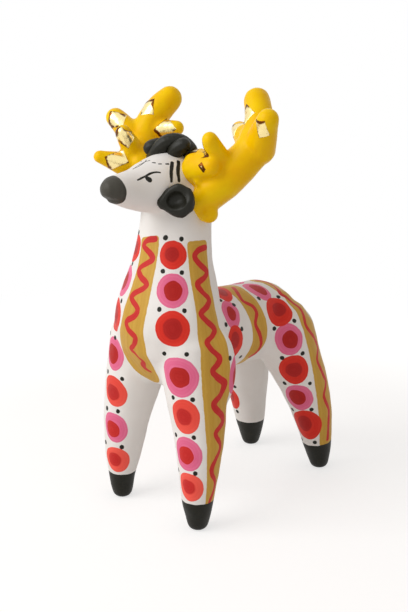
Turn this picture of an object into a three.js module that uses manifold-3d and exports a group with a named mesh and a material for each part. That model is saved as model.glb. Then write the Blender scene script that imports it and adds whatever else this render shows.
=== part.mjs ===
// A hand-modelled clay deer in the manner of northern folk toys. A rolled barrel, a neck, a head and four
// cone legs are luted together, with dished ears, a twisted forelock, finger-like antlers, a tail and squares
// of leaf. Millimetres. The deer faces -Y, its left side is +X, and Z is up from the ground that its soles
// stand on. The origin is on the ground, under the middle of the whole figure.
import * as THREE from "three";
import { mergeVertices } from "three/addons/utils/BufferGeometryUtils.js";
import Module from "manifold-3d";

const wasm = await Module();
wasm.setup();

// Driving dimensions: joints between lumps of clay
const slipJoint = 0.3; // film of slip between two luted lumps, and of size under the leaf
const leafThickness = 0.35; // gold leaf with its varnish

// Driving dimensions: barrel, whose axis starts at Y = 0
const barrelAxisZ = 78.5;
const barrelLength = 63.5; // between the middles of its two domed ends
const barrelWidth = 38;
const barrelHeight = 38;
const rumpBulge = 0.9; // as a share of its half thickness
const rumpDrop = 1; // how far the rear end sinks below the middle of the back

// Driving dimensions: forelegs, from the middle of the chest
const foreStance = 49; // sole to sole, across
const foreStep = 7.2; // how far ahead of the chest the soles stand
const foreAnkleRadius = 6.9;
const foreKneeHeight = 42;
const foreKneeRadius = 11.2;
const foreKneeInset = 1.6; // how far inside the sole, and behind it, the knee lies
const foreKneeBack = 2.6;
const foreRootRadius = 15.5;
const foreRootInset = 13; // from the side of the chest
const foreRootAhead = 1;
const foreRootRise = 1; // above the axis of the barrel

// Driving dimensions: hind legs, from the rear end of the barrel
const hindStance = 46.6;
const hindStep = 20.8;
const hindRightInset = 1.4; // how much nearer to the middle the right sole stands
const hindAnkleRadius = 7.5;
const hindAnkleInset = 0.3;
const hindAnkleAhead = 1.2;
const hindKneeHeight = 40;
const hindKneeRadius = 11.2;
const hindKneeInset = 3;
const hindKneeAhead = 7.4;
const hindThighRadius = 16;
const hindThighInset = 6.7; // from the side of the barrel
const hindThighBack = 1.8;
const hindThighDrop = 5; // below the axis of the barrel

// Driving dimensions: every foot
const soleRadius = 4.9;
const soleRise = 3.4; // height at which the hoof starts to round under
const ankleHeight = 13;

// Driving dimensions: neck, which swells into the chest
const chestWidth = 55;
const chestDepth = 42;
const chestBack = 1; // behind the front end of the barrel
const chestRise = 7.5; // above the axis of the barrel
const chestDrop = 19; // from its widest part down to its round end between the forelegs
const chestEndWidth = 48;
const chestEndDepth = 30;
const chestEndBack = 4;
const neckLength = 62;
const neckLean = 6; // how far back its top leans
const neckBaseWidth = 46.4;
const neckBaseDepth = 37.2;
const neckMidWidth = 38;
const neckMidDepth = 31.2;
const throatWidth = 34;
const throatDepth = 28;
const neckTopWidth = 32;
const neckTopDepth = 27;

// Driving dimensions: head, from the top of the neck
const headRise = 1.5;
const napeReach = 7; // how far its axis runs back over the neck
const headLength = 41.3; // along its axis, without its domed ends
const skullWidth = 27;
const skullHeight = 26;
const skullTaper = 0.6;
const cheekWidth = 23.4;
const cheekHeight = 22.4;
const cheekDrop = 1.4;
const snoutWidth = 16.4;
const snoutHeight = 16.4;
const snoutDrop = 1.6;
const muzzleWidth = 12.4;
const muzzleHeight = 12.2;
const muzzleDrop = 0.8;
const mouthRadius = 1.5;
const mouthRise = 1.8; // above the underside of the muzzle
const mouthAhead = 7; // of the middle of the muzzle's domed end, which puts the groove 0.9 deep

// Driving dimensions: ears
const earReach = 11.8; // from the pinched root on the cheek to the outer rim
const earHeight = 14.4;
const earThickness = 5.4;
const earAlong = 0.62; // where along the head its root lies
const earSink = 1.2; // how deep the root sits in the cheek
const earDrop = 6.4; // below the axis of the head
const earRightRise = 1.5; // how much higher the right ear sits
const earAim = [0.88, 0.46, 0.12];
const earFacing = [0.46, -0.88, 0.1];
const earDishRadius = 4.4;
const earDishDepth = 2;

// Driving dimensions: forelock
const strandRadius = 2.9;
const twistRadius = 2.3; // from the middle of the forelock to the middle of a strand
const forelockSpan = 16.5;
const forelockTurns = 0.88;
const forelockArch = 1.6;
const forelockAhead = 11.5; // ahead of the rear end of the head
const forelockSkew = 4; // how much further back its left end lies
const forelockTilt = 3; // and how much higher
const forelockPhase = 0.6 * Math.PI;

// Driving dimensions: tail
const tailRootRadius = 3;
const tailRadius = 3.6;
const tailTipRadius = 2.2;
const tailRootBack = 7.5; // behind the rear end of the barrel
const tailBendBack = 19.5;
const tailTipBack = 22.5;
const tailRise = 4; // above the axis of the barrel
const tailSag = 2;
const tailFall = 8.5;

// Driving dimensions: antlers. Each is a thick bent beam that ends in its rear finger, with four more fingers
// luted to it, rolled and bent by hand, so the two sides differ. Every place is a step from the side of the
// skull: the beam's stations with half its width along the head and half its thickness, and each finger's
// root and tip with their radii. The left brow tine swells into the pad that is pressed on beside the crown.
const antlerPlan = {
  left: {
    beam: [
      { step: [0.8, -6.9, -12], wide: 5.8, deep: 4.6 },
      { step: [4.5, -5.9, -5], wide: 8.8, deep: 6.8 },
      { step: [10.5, -1, 3.5], wide: 8.8, deep: 8.3 },
      { step: [17.5, 5, 13], wide: 7.6, deep: 7.6 },
      { step: [17.2, 10.5, 25], wide: 6.2, deep: 6.2 },
      { step: [11.8, 15.5, 33.5], wide: 5.7, deep: 5.7 },
    ],
    outer_finger: { root: [20.5, 6.5, 14.5], rootRadius: 7, tip: [30, 0.5, 27], tipRadius: 4.6 },
    brow_tine: { root: [1, -7.7, 6.5], rootRadius: 8.2, tip: [10.7, -11.3, 8.1], tipRadius: 4.4 },
    front_tine: { root: [10.5, -0.5, 3.5], rootRadius: 5.6, tip: [11.5, -13.5, 19], tipRadius: 3.3 },
    inner_tine: { root: [16.5, 6.5, 16], rootRadius: 6.3, tip: [3.5, 14.2, 21.3], tipRadius: 3.6 },
  },
  right: {
    beam: [
      { step: [0.5, -6, -4], wide: 4.6, deep: 4.6 },
      { step: [-3.5, -6.5, 1.5], wide: 7.2, deep: 7.2 },
      { step: [-10, -7, 6], wide: 8.3, deep: 8.3 },
      { step: [-16.5, 1, 13], wide: 7.6, deep: 7.6 },
      { step: [-15.5, 8, 25], wide: 6.9, deep: 6.9 },
      { step: [-11.5, 14, 33], wide: 5.8, deep: 5.8 },
    ],
    outer_finger: { root: [-16.5, 1, 13], rootRadius: 6.6, tip: [-28, -4, 24.5], tipRadius: 4.6 },
    brow_tine: { root: [-9, -8, 3.5], rootRadius: 6.5, tip: [-16.8, -23.8, 9.1], tipRadius: 2.8 },
    front_tine: { root: [-10, -7, 6], rootRadius: 5.6, tip: [-10.1, -16.1, 19.5], tipRadius: 3.5 },
    inner_tine: { root: [-16, 4.5, 19], rootRadius: 5.2, tip: [-3, 9.5, 20.5], tipRadius: 3.4 },
  },
};
const fingerTaper = 0.4; // share of a finger's taper that lies in its first half

// Driving dimensions: gold leaf, one square on the front of each finger, and one where the left antler meets
// the crown. "t" is how far along the finger a square lies, and "towards" is the way that it faces. Two are
// cut smaller.
const leafLength = 7.6;
const leafWidth = 6;
const leafTurn = 0.6; // radians, which set a square on edge as a rhomb
const cutterHeight = 14; // of the rhomb that cuts a square, more than the stoutest finger's radius
const leafPlan = {
  left: {
    outer_finger: { on: "outer_finger", t: 0.9, towards: [0.5, -0.8, 0.2] },
    brow_tine: { on: "brow_tine", t: 1, towards: [-0.75, -0.6, -0.1], length: 3.6, width: 5.6 },
    front_tine: { on: "front_tine", t: 0.8, towards: [-0.8, -0.6, 0], length: 6.4, width: 4.8 },
    inner_tine: { on: "inner_tine", t: 0.8, towards: [0, -1, 0] },
    rear_finger: { on: "beam", t: 0.84, towards: [-0.4, -1, 0] },
    beam_root: { on: "brow_tine", t: 0.1, towards: [-0.6, -0.3, 0.8] },
  },
  right: {
    outer_finger: { on: "outer_finger", t: 0.88, towards: [0.7, -0.7, 0] },
    brow_tine: { on: "brow_tine", t: 0.64, towards: [0.9, -0.2, 0.2] },
    front_tine: { on: "front_tine", t: 0.95, towards: [0.6, -0.8, 0] },
    inner_tine: { on: "inner_tine", t: 0.7, towards: [0.7, -0.7, 0] },
    rear_finger: { on: "beam", t: 0.82, towards: [-0.1, -1, 0] },
  },
};

// Facets
const bodySides = 28;
const headSides = 24;
const legSides = 18;
const beamSides = 18;
const earSides = 16;
const fingerSides = 14;
const tailSides = 14;
const strandSides = 10;
const strandStations = 11;
const capRings = 3;

const sides = { left: 1, right: -1 };
const lerp = THREE.MathUtils.lerp;

// Places that the pieces share
const chestY = chestBack;
const chestZ = barrelAxisZ + chestRise;
const neckTopY = chestY + neckLean;
const neckTopZ = chestZ + neckLength;
const headAxisZ = neckTopZ + headRise;
const headRearY = neckTopY + napeReach;
const muzzleY = headRearY - headLength;
const crownZ = headAxisZ + skullHeight / 2;
const foreSoleY = chestY - foreStep;
const hindSoleY = barrelLength + hindStep;

// Solids

// A closed geometry as a manifold solid.
function solid(geometry) {
  const bare = new THREE.BufferGeometry().setAttribute("position", geometry.getAttribute("position"));
  if (geometry.index) bare.setIndex(geometry.index);
  const merged = mergeVertices(bare, 1e-4);
  return new wasm.Manifold(
    new wasm.Mesh({
      numProp: 3,
      vertProperties: new Float32Array(merged.attributes.position.array),
      triVerts: new Uint32Array(merged.index.array),
    }),
  );
}

// A manifold solid as a geometry with flat facets.
function geometryOf(body) {
  const mesh = body.getMesh();
  const points = new Float32Array(mesh.numVert * 3);
  for (let i = 0; i < mesh.numVert; i++) {
    points.set(mesh.vertProperties.subarray(i * mesh.numProp, i * mesh.numProp + 3), i * 3);
  }
  const made = new THREE.BufferGeometry().setAttribute("position", new THREE.BufferAttribute(points, 3));
  made.setIndex(new THREE.BufferAttribute(new Uint32Array(mesh.triVerts), 1));
  made.computeVertexNormals();
  return made;
}

const curveThrough = (points) => new THREE.CatmullRomCurve3(points, false, "centripetal");

// A smooth number along a list of numbers, at t from 0 to 1.
const along = (values, t) => curveThrough(values.map((v, i) => new THREE.Vector3(i, v, 0))).getPoint(t).y;

const axisOf = (shape) => curveThrough(shape.stations.map((s) => new THREE.Vector3(...s.at)));

// A lump rolled along a curve: stations are { at: [x, y, z], r } or { at, wide, deep }, oval across the
// curve, with domed ends. "across" is the direction that "wide" is measured along, "domes" is how far each
// end bulges as a share of its half thickness, and grow thickens the lump all over.
function lump({ stations, across = [1, 0, 0], sides: count, rings, domes = [1, 1] }, grow = 0) {
  const curve = axisOf({ stations });
  const wides = stations.map((s) => s.wide ?? s.r);
  const deeps = stations.map((s) => s.deep ?? s.r);
  const reference = new THREE.Vector3(...across);
  const loops = [];
  const addLoop = (t, shift, shrink) => {
    const tangent = curve.getTangent(t);
    const side = reference.clone().addScaledVector(tangent, -reference.dot(tangent)).normalize();
    const up = new THREE.Vector3().crossVectors(tangent, side);
    const centre = curve.getPoint(t).addScaledVector(tangent, shift);
    const wide = (along(wides, t) + grow) * shrink;
    const deep = (along(deeps, t) + grow) * shrink;
    const loop = [];
    for (let k = 0; k < count; k++) {
      const angle = (2 * Math.PI * k) / count;
      const point = centre.clone().addScaledVector(side, wide * Math.cos(angle));
      loop.push(point.addScaledVector(up, deep * Math.sin(angle)));
    }
    loops.push(loop);
  };
  const domeReach = (t, share) => share * (Math.min(along(wides, t), along(deeps, t)) + grow);
  const lift = (k) => (Math.PI / 2) * (k / capRings);
  const [startReach, endReach] = [domeReach(0, domes[0]), domeReach(1, domes[1])];
  for (let k = capRings - 1; k >= 1; k--) addLoop(0, -startReach * Math.sin(lift(k)), Math.cos(lift(k)));
  for (let i = 0; i <= rings; i++) addLoop(i / rings, 0, 1);
  for (let k = 1; k < capRings; k++) addLoop(1, endReach * Math.sin(lift(k)), Math.cos(lift(k)));
  const startTip = curve.getPoint(0).addScaledVector(curve.getTangent(0), -startReach);
  const endTip = curve.getPoint(1).addScaledVector(curve.getTangent(1), endReach);
  const points = [...loops.flat(), startTip, endTip];
  const last = (loops.length - 1) * count;
  const faces = [];
  for (let k = 0; k < count; k++) {
    const next = (k + 1) % count;
    faces.push(points.length - 2, next, k, points.length - 1, last + k, last + next);
    for (let j = 0; j < last; j += count) {
      faces.push(j + k, j + next, j + next + count, j + k, j + next + count, j + k + count);
    }
  }
  const made = new THREE.BufferGeometry().setFromPoints(points);
  made.setIndex(faces);
  return solid(made);
}

// A solid less its neighbours, each grown by the film of slip. A sliver that is cut off is trimmed away.
function clear(body, ...neighbours) {
  const left = neighbours.reduce((kept, n) => kept.subtract(lump(n, slipJoint)), body);
  return left.decompose().reduce((largest, piece) => (piece.volume() > largest.volume() ? piece : largest));
}

// A lump cut to sit against its neighbours.
const lute = (shape, ...neighbours) => clear(lump(shape), ...neighbours);

// A turned frame at a point of a lump's axis: its Z points "towards", square to the axis, which Y follows.
function seatOn(shape, t, towards) {
  const axis = axisOf(shape);
  const y = axis.getTangent(t);
  const z = new THREE.Vector3(...towards);
  z.addScaledVector(y, -z.dot(y)).normalize();
  const x = new THREE.Vector3().crossVectors(y, z);
  return new THREE.Matrix4().makeBasis(x, y, z).setPosition(axis.getPoint(t));
}

// A square of leaf: the part of a thin skin round a lump that a rhomb cuts out.
function leafOn(shape, { t, towards, length = leafLength, width = leafWidth }) {
  const skin = lump(shape, slipJoint + leafThickness).subtract(lump(shape, slipJoint));
  const rhomb = new THREE.BoxGeometry(width, length, cutterHeight).translate(0, 0, cutterHeight / 2);
  rhomb.rotateZ(leafTurn).applyMatrix4(seatOn(shape, t, towards));
  return skin.intersect(solid(rhomb));
}

// Barrel
const barrelStation = (t) => ({
  at: [0, barrelLength * t, barrelAxisZ - rumpDrop * THREE.MathUtils.smoothstep(t, 0.4, 1)],
  wide: barrelWidth / 2,
  deep: barrelHeight / 2,
});
const barrel = {
  stations: [0, 0.3, 0.62, 0.86, 1].map(barrelStation),
  sides: bodySides,
  rings: 10,
  domes: [0.75, rumpBulge],
};

// Neck: up and lean are shares of its length and of its lean
const neckStation = (up, lean, width, depth) => ({
  at: [0, chestY + lean * neckLean, chestZ + up * neckLength],
  wide: width / 2,
  deep: depth / 2,
});
const chestEnd = {
  at: [0, chestY + chestEndBack, chestZ - chestDrop],
  wide: chestEndWidth / 2,
  deep: chestEndDepth / 2,
};
const neck = {
  stations: [
    chestEnd,
    neckStation(0, 0, chestWidth, chestDepth),
    neckStation(0.26, 0.25, neckBaseWidth, neckBaseDepth),
    neckStation(0.48, 0.5, neckMidWidth, neckMidDepth),
    neckStation(0.7, 0.8, throatWidth, throatDepth),
    neckStation(1, 1, neckTopWidth, neckTopDepth),
  ],
  sides: bodySides,
  rings: 14,
  domes: [0.45, 0.3],
};

// Head: a rolled cone with a long muzzle
const headStation = (t, drop, width, height) => ({
  at: [0, lerp(headRearY, muzzleY, t), headAxisZ - drop],
  wide: width / 2,
  deep: height / 2,
});
const head = {
  stations: [
    headStation(0, 0, skullWidth, skullHeight),
    headStation(0.3, 0.2, skullWidth - skullTaper, skullHeight - skullTaper),
    headStation(0.56, cheekDrop, cheekWidth, cheekHeight),
    headStation(0.8, snoutDrop, snoutWidth, snoutHeight),
    headStation(1, muzzleDrop, muzzleWidth, muzzleHeight),
  ],
  sides: headSides,
  rings: 12,
  domes: [0.8, 1.3],
};

// The groove of the mouth, pressed across the tip of the muzzle
function mouth() {
  const roller = new THREE.CylinderGeometry(mouthRadius, mouthRadius, muzzleWidth, 12).rotateZ(Math.PI / 2);
  const underside = headAxisZ - muzzleHeight / 2;
  return solid(roller.translate(0, muzzleY - mouthAhead, underside + mouthRise));
}

// Legs: cones from a small sole up into the chest or the barrel
const leg = (side, sole, ankle, knee, root) => ({
  stations: [sole, ankle, knee, root].map(({ x, y, z, r }) => ({ at: [side * x, y, z], r })),
  sides: legSides,
  rings: 8,
});
const foreleg = (side) => {
  const soleX = foreStance / 2;
  const sole = { x: soleX, y: foreSoleY, z: soleRise, r: soleRadius };
  const ankle = { x: soleX, y: foreSoleY, z: ankleHeight, r: foreAnkleRadius };
  const kneeX = soleX - foreKneeInset;
  const knee = { x: kneeX, y: foreSoleY + foreKneeBack, z: foreKneeHeight, r: foreKneeRadius };
  const rootX = chestWidth / 2 - foreRootInset;
  const root = { x: rootX, y: chestY - foreRootAhead, z: barrelAxisZ + foreRootRise, r: foreRootRadius };
  return leg(side, sole, ankle, knee, root);
};
const hindLeg = (side) => {
  const soleX = hindStance / 2 - (side === sides.right ? hindRightInset : 0);
  const sole = { x: soleX, y: hindSoleY, z: soleRise, r: soleRadius };
  const ankleX = soleX - hindAnkleInset;
  const ankle = { x: ankleX, y: hindSoleY - hindAnkleAhead, z: ankleHeight, r: hindAnkleRadius };
  const kneeX = soleX - hindKneeInset;
  const knee = { x: kneeX, y: hindSoleY - hindKneeAhead, z: hindKneeHeight, r: hindKneeRadius };
  const thighX = barrelWidth / 2 - hindThighInset;
  const thighY = barrelLength + hindThighBack;
  const thigh = { x: thighX, y: thighY, z: barrelAxisZ - hindThighDrop, r: hindThighRadius };
  return leg(side, sole, ankle, knee, thigh);
};

// Tail: luted under the back, and bent down behind the rump
const tailZ = barrelAxisZ + tailRise;
const tail = {
  stations: [
    { at: [0, barrelLength + tailRootBack, tailZ], r: tailRootRadius },
    { at: [0, barrelLength + tailBendBack, tailZ - tailSag], r: tailRadius },
    { at: [0, barrelLength + tailTipBack, tailZ - tailSag - tailFall], r: tailTipRadius },
  ],
  sides: tailSides,
  rings: 7,
};

// Antlers
const plus = (from, step) => from.map((v, i) => v + step[i]);

function antler(side, { beam, ...fingers }) {
  const skullSide = [(side * skullWidth) / 2, headRearY, headAxisZ];
  const stations = beam.map(({ step, wide, deep }) => ({ at: plus(skullSide, step), wide, deep }));
  const shapes = { beam: { stations, across: [0, 1, 0], sides: beamSides, rings: 12 } };
  for (const [name, { root, rootRadius, tip, tipRadius }] of Object.entries(fingers)) {
    const middle = root.map((v, i) => lerp(v, tip[i], 0.5));
    const rolled = [
      { at: plus(skullSide, root), r: rootRadius },
      { at: plus(skullSide, middle), r: lerp(rootRadius, tipRadius, fingerTaper) },
      { at: plus(skullSide, tip), r: tipRadius },
    ];
    shapes[name] = { stations: rolled, across: [0, 1, 0], sides: fingerSides, rings: 6 };
  }
  return shapes;
}

// Forelock: two strands twisted round each other, laid across the crown
function strand(phase) {
  const stations = [];
  for (let i = 0; i < strandStations; i++) {
    const t = i / (strandStations - 1);
    const angle = phase + 2 * Math.PI * forelockTurns * t;
    const y = headRearY - forelockAhead + forelockSkew * (t - 0.5);
    const z = crownZ + forelockTilt * (t - 0.5) + forelockArch * (1 - (2 * t - 1) ** 2);
    stations.push({
      at: [forelockSpan * (t - 0.5), y - twistRadius * Math.cos(angle), z + twistRadius * Math.sin(angle)],
      r: strandRadius,
    });
  }
  return { stations, across: [0, 1, 0], sides: strandSides, rings: 16 };
}
const strands = { front: strand(-forelockPhase), rear: strand(Math.PI - forelockPhase) };

// Ears: a pad pinched where it joins the cheek, with a thumbed hollow on the front. The last value of a
// station is the ear's height there, as a share of its greatest.
const earStation = (side, t, share) => {
  const rootY = lerp(headRearY, muzzleY, earAlong);
  const rootZ = headAxisZ - earDrop + (side === sides.right ? earRightRise : 0);
  const root = [side * (cheekWidth / 2 - earSink), rootY, rootZ];
  const [x, y, z] = earAim;
  return {
    at: plus(root, [side * x, y, z].map((v) => v * earReach * t)),
    wide: (earHeight * share) / 2,
    deep: earThickness / 2,
  };
};
const ear = (side) => ({
  stations: [
    earStation(side, 0, 0.44),
    earStation(side, 0.3, 0.84),
    earStation(side, 0.62, 1),
    earStation(side, 0.9, 0.74),
  ],
  across: [0, 0, 1],
  sides: earSides,
  rings: 6,
});
function earDish(side) {
  const [x, y, z] = earFacing;
  const dish = new THREE.SphereGeometry(earDishRadius, 14, 8);
  dish.scale(1, 1, earDishDepth / earDishRadius).translate(0, 0, earThickness / 2);
  return solid(dish.applyMatrix4(seatOn(ear(side), 0.58, [side * x, y, z])));
}

// Materials
const slip = new THREE.MeshStandardMaterial({ color: 0xf3f0ec, roughness: 0.75, metalness: 0 });
const soot = new THREE.MeshStandardMaterial({ color: 0x2b2b28, roughness: 0.55, metalness: 0 });
const yolk = new THREE.MeshStandardMaterial({ color: 0xf2b90c, roughness: 0.45, metalness: 0 });
const gold = new THREE.MeshStandardMaterial({ color: 0xe2c374, roughness: 0.25, metalness: 1 });

// Assembly
const deer = new THREE.Group();
function add(name, body, material) {
  const mesh = new THREE.Mesh(geometryOf(body), material);
  mesh.name = name;
  deer.add(mesh);
}

// A block that fills everything on one side of a plane: the ground, or the far side of the deer.
const blockSize = 4 * headAxisZ;
const block = () => new THREE.BoxGeometry(blockSize, blockSize, blockSize);
const ground = solid(block().translate(0, 0, -blockSize / 2));
const farSide = (side) => solid(block().translate((side * (slipJoint - blockSize)) / 2, 0, 0));

add("barrel", lump(barrel), slip);
add("neck", lute(neck, barrel, head), slip);
add("head", lump(head).subtract(mouth()), slip);
for (const [name, side] of Object.entries(sides)) {
  add("foreleg_" + name, lute(foreleg(side), barrel, neck).subtract(ground).subtract(farSide(side)), slip);
  add("hind_leg_" + name, lute(hindLeg(side), barrel).subtract(ground).subtract(farSide(side)), slip);
}
add("tail", lute(tail, barrel, hindLeg(sides.left), hindLeg(sides.right)), slip);

const browTines = [];
for (const [name, side] of Object.entries(sides)) {
  const shapes = antler(side, antlerPlan[name]);
  browTines.push(shapes.brow_tine);
  const placed = [];
  for (const [part, shape] of Object.entries(shapes)) {
    add(`antler_${part}_${name}`, lute(shape, head, neck, ...placed), yolk);
    placed.push(shape);
  }
  add("ear_" + name, lute(ear(side), head, neck, ...placed).subtract(earDish(side)), soot);
  for (const [spot, leaf] of Object.entries(leafPlan[name])) {
    const others = placed.filter((shape) => shape !== shapes[leaf.on]);
    const square = leafOn(shapes[leaf.on], leaf);
    add(`gold_leaf_${spot}_${name}`, clear(square, head, ...others, ...Object.values(strands)), gold);
  }
}
add("forelock_strand_front", lute(strands.front, head, ...browTines), soot);
add("forelock_strand_rear", lute(strands.rear, head, strands.front, ...browTines), soot);

// The origin moves to the ground under the middle of the figure
const middle = new THREE.Box3().setFromObject(deer).getCenter(new THREE.Vector3());
deer.position.set(-middle.x, -middle.y, 0);

export default deer;
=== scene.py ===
import math
import random

import bmesh
import bpy
import numpy as np
from mathutils import Matrix, Vector, kdtree, noise
from mathutils.bvhtree import BVHTree


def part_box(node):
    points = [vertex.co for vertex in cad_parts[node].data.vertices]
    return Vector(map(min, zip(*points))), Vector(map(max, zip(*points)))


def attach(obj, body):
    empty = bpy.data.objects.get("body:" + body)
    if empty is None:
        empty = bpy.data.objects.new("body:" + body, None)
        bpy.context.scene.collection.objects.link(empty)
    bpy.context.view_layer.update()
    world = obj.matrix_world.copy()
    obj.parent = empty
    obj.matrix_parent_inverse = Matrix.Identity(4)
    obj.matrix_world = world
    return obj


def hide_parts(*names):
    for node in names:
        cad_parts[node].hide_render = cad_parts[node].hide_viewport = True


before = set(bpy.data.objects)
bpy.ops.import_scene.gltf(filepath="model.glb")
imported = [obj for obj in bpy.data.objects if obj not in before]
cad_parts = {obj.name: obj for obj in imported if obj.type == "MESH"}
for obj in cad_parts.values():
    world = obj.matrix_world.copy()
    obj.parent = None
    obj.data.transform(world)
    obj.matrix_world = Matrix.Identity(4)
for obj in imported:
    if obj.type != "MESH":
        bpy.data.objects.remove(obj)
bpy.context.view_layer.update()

mm = 0.001  # one millimetre in Blender's metres
hand = random.Random(11)  # the unsteadiness of the painter's hand

# Camera, at the photograph's angle
photo_width = 408  # pixels
photo_height = 612
focal_pixels = 974
camera_azimuth = math.radians(43.0)
camera_elevation = math.radians(14.4)
camera_distance = 444
camera_aim = np.array([-1.05, -3.55, 90.7])
sensor_size = 36

flat_reach = math.cos(camera_elevation)
camera_back = np.array(
    [
        math.sin(camera_azimuth) * flat_reach,
        -math.cos(camera_azimuth) * flat_reach,
        math.sin(camera_elevation),
    ]
)
camera_right = np.array([math.cos(camera_azimuth), math.sin(camera_azimuth), 0.0])
camera_up = np.cross(camera_back, camera_right)
camera_place = camera_aim + camera_distance * camera_back


def make_camera():
    lens = bpy.data.cameras.new("camera")
    lens.sensor_width = sensor_size
    lens.lens = focal_pixels / photo_height * sensor_size
    camera = bpy.data.objects.new("camera", lens)
    camera.location = Vector(camera_place * mm)
    camera.rotation_euler = Vector(-camera_back).to_track_quat("-Z", "Y").to_euler()
    bpy.context.scene.collection.objects.link(camera)
    bpy.context.scene.camera = camera


def sight_line(pixel):
    """The direction in which the camera sees a pixel of the photograph."""
    across = pixel[0] - photo_width / 2
    above = photo_height / 2 - pixel[1]
    return Vector(across * camera_right + above * camera_up - focal_pixels * camera_back).normalized()


# Meshes as arrays, in millimetres
def points_of(mesh):
    flat = np.empty(len(mesh.vertices) * 3)
    mesh.vertices.foreach_get("co", flat)
    return flat.reshape(-1, 3) / mm


def set_points(mesh, points):
    mesh.vertices.foreach_set("co", (points * mm).ravel())
    mesh.update()


def normals_of(mesh):
    flat = np.empty(len(mesh.vertices) * 3)
    mesh.vertex_normals.foreach_get("vector", flat)
    return flat.reshape(-1, 3)


def ends_of(mesh):
    """The two points of every edge."""
    ends = np.empty(len(mesh.edges) * 2, int)
    mesh.edges.foreach_get("vertices", ends)
    return ends.reshape(-1, 2).T


def tree_of(mesh):
    """A search tree of the mesh's faces, in millimetres."""
    corners = [tuple(face.vertices) for face in mesh.polygons]
    return BVHTree.FromPolygons([Vector(p) for p in points_of(mesh)], corners)


def smoothstep(low, high, value):
    t = np.clip((value - low) / (high - low), 0, 1)
    return t * t * (3 - 2 * t)


def keep_largest(mesh):
    """Only the largest shell stays: a remesh can leave bubbles in the joints between lumps."""
    work = bmesh.new()
    work.from_mesh(mesh)
    unseen = set(work.verts)
    shells = []
    while unseen:
        shell = [unseen.pop()]
        for vertex in shell:
            for edge in vertex.link_edges:
                other = edge.other_vert(vertex)
                if other in unseen:
                    unseen.remove(other)
                    shell.append(other)
        shells.append(shell)
    shells.sort(key=len)
    bmesh.ops.delete(work, geom=[v for shell in shells[:-1] for v in shell], context="VERTS")
    work.to_mesh(mesh)
    work.free()


merge_reach = 0.001  # corners of a CAD mesh that are nearer than this are one corner
fillet_fineness = 4  # how often the faces of a fillet's ball are divided


def one_shell(nodes, grow, voxel, fillets=()):
    """One closed skin round CAD nodes, which grow first to close their joints, and fillets of clay."""
    joined = bmesh.new()
    for middle, radii in fillets:
        shape = Matrix.LocRotScale(Vector(middle) * mm, None, Vector(radii) * mm)
        bmesh.ops.create_icosphere(joined, subdivisions=fillet_fineness, radius=1, matrix=shape)
    for name in nodes:
        lump = bmesh.new()
        lump.from_mesh(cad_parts[name].data)
        bmesh.ops.remove_doubles(lump, verts=lump.verts, dist=merge_reach * mm)
        lump.normal_update()
        for vertex in lump.verts:
            vertex.co += grow * mm * vertex.normal
        grown = bpy.data.meshes.new(name)
        lump.to_mesh(grown)
        lump.free()
        joined.from_mesh(grown)
        bpy.data.meshes.remove(grown)
    rough = bpy.data.meshes.new("rough")
    joined.to_mesh(rough)
    joined.free()
    holder = bpy.data.objects.new("rough", rough)
    bpy.context.scene.collection.objects.link(holder)
    remesh = holder.modifiers.new("remesh", "REMESH")
    remesh.mode = "VOXEL"
    remesh.voxel_size = voxel * mm
    evaluated = holder.evaluated_get(bpy.context.evaluated_depsgraph_get())
    mesh = bpy.data.meshes.new_from_object(evaluated)
    bpy.data.objects.remove(holder)
    keep_largest(mesh)
    return mesh


wetness = 0.5  # the share of the way that a wet point moves in one step


def smoothed(mesh, points, steps, share):
    """Each point moves towards the mean of its neighbours, by a share of the way, step by step."""
    first, second = ends_of(mesh)
    count = len(points)
    degree = np.bincount(first, minlength=count) + np.bincount(second, minlength=count)
    share = np.broadcast_to(share, count)
    points = points.copy()
    for _ in range(steps):
        for axis in range(3):
            line = points[:, axis]
            total = np.bincount(first, line[second], count) + np.bincount(second, line[first], count)
            points[:, axis] = line + share * (total / degree - line)
    return points


def wetted(mesh, steps, share=wetness):
    """Points smoothed as by a wet finger. What one pass takes off the bulk, the second puts back."""
    once = smoothed(mesh, points_of(mesh), steps, share)
    return 2 * once - smoothed(mesh, once, steps, share)


def uneven(points, normals, swell, reach, seed):
    """Points moved in and out by a hand's slight unevenness, swell high and reach across."""
    shift = Vector((seed, seed, seed))
    heights = np.array([noise.noise(Vector(p / reach) + shift) for p in points])
    return points + swell * heights[:, None] * normals


full_pull = 0.4  # the share of the reach within which a point is drawn all the way
seat_depth = 0.5  # how far under the other piece's surface it then ends


def seated(points, tree, reach):
    """Points near another piece are drawn to it and end just under its surface."""
    points = points.copy()
    for i, point in enumerate(points):
        spot, normal, _, distance = tree.find_nearest(Vector(point), 2 * reach)
        if spot is not None:
            pull = 1 - smoothstep(full_pull * reach, reach, distance)
            points[i] += pull * (np.array(spot) - point - seat_depth * np.array(normal))
    return points


def finished(name, mesh, material, nodes):
    """A finished piece, which stands for its CAD nodes and rides on the deer."""
    mesh.polygons.foreach_set("use_smooth", np.ones(len(mesh.polygons), bool))
    mesh.materials.clear()
    mesh.materials.append(material)
    piece = bpy.data.objects.new(name, mesh)
    bpy.context.scene.collection.objects.link(piece)
    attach(piece, "root")
    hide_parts(*nodes)


# Materials
def linear(hex_colour):
    """An sRGB hex colour as Blender's linear colour."""
    channels = [int(hex_colour[i : i + 2], 16) / 255 for i in (1, 3, 5)]
    return [c / 12.92 if c <= 0.04045 else ((c + 0.055) / 1.055) ** 2.4 for c in channels] + [1]


def per(size):
    """The scale of a texture whose features are this many millimetres across."""
    return 1 / (size * mm)


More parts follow.
